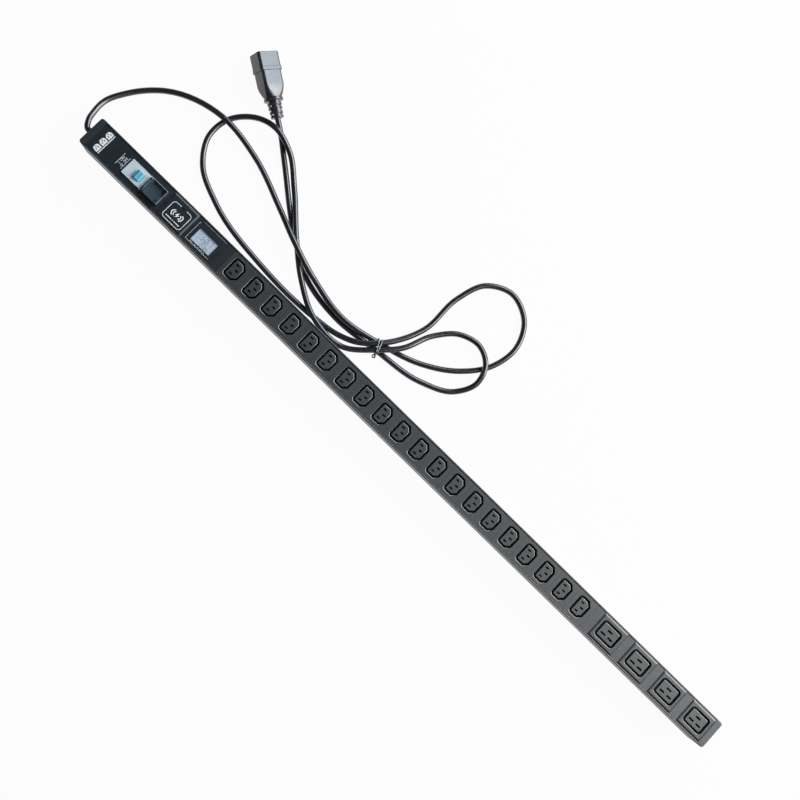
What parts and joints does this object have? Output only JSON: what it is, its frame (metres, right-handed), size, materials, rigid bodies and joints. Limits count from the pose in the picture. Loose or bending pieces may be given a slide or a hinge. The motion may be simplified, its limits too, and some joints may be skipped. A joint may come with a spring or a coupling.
{
  "type": "rack power distribution strip",
  "caption": "Vertical rack power strip: metal channel with snap-in outlets, a breaker under a flip cover, a surge module, a meter and a tied mains cord with plug.",
  "frame": {"origin": "middle of the channel's back face, which lies on the floor", "axes": "+X along the strip away from the cord, +Y across it, +Z out of the outlet face"},
  "size_m": [1.2061, 0.281, 0.0525],
  "materials": {
    "housing": "satin black",
    "end_caps": "matt black",
    "plates": "matt black",
    "outlets": "matt black",
    "breaker": "satin off-white",
    "lever": "satin blue",
    "cover": "smoked grey",
    "steel": "bright",
    "lamp": "dark lens, unlit",
    "boards": "coated",
    "discs": "coated",
    "window": "clear",
    "display": "pale grey",
    "coil": "moulded",
    "bars": "bright",
    "leads": "insulated",
    "clamp": "moulded",
    "cord": "matt black",
    "tie": "bare wire",
    "plug": "matt black",
    "blades": "nickel plated"
  },
  "bodies": {
    "strip": {"housing_channel": "housing", "end_cap_cord": "end_caps", "end_cap_far": "end_caps", "case_screws": "steel", "cord_bush": "cord", "cord_sheath": "cord", "cord_clamp": "clamp", "earth_stud": "bars", "label_plate": "plates", "breaker_plate": "plates", "breaker_body": "breaker", "cover_pin": "steel", "surge_plate": "plates", "surge_lamp": "lamp", "surge_board": "boards", "surge_discs": "discs", "meter_plate": "plates", "meter_window": "window", "meter_display": "display", "meter_board": "boards", "meter_coil": "coil", "spacer_1": "plates", "spacer_2": "plates", "spacer_3": "plates", "spacer_4": "plates", "spacer_5": "plates", "c13_outlet_01": "outlets", "c13_outlet_02": "outlets", "c13_outlet_03": "outlets", "c13_outlet_04": "outlets", "c13_outlet_05": "outlets", "c13_outlet_06": "outlets", "c13_outlet_07": "outlets", "c13_outlet_08": "outlets", "c13_outlet_09": "outlets", "c13_outlet_10": "outlets", "c13_outlet_11": "outlets", "c13_outlet_12": "outlets", "c13_outlet_13": "outlets", "c13_outlet_14": "outlets", "c13_outlet_15": "outlets", "c13_outlet_16": "outlets", "c13_outlet_17": "outlets", "c13_outlet_18": "outlets", "c13_outlet_19": "outlets", "c13_outlet_20": "outlets", "c19_outlet_1": "outlets", "c19_outlet_2": "outlets", "c19_outlet_3": "outlets", "c19_outlet_4": "outlets", "busbar_live": "bars", "busbar_neutral": "bars", "busbar_earth": "bars", "inner_leads": "leads", "cord": "cord", "cord_tie": "tie", "plug_body": "plug", "plug_blades": "blades"},
    "lever": {"breaker_lever": "lever"},
    "cover": {"breaker_cover": "cover"}
  },
  "joints": [
    {"name": "lever_tilt", "type": "hinge", "parent": "strip", "child": "lever", "pos_m": [-0.5002, 0, 0.0412], "axis": [0, 1, 0], "range_deg": [0, 44]},
    {"name": "cover_hinge", "type": "hinge", "parent": "strip", "child": "cover", "pos_m": [-0.4849, 0, 0.04905], "axis": [0, -1, 0], "range_deg": [0, 180]}
  ]
}
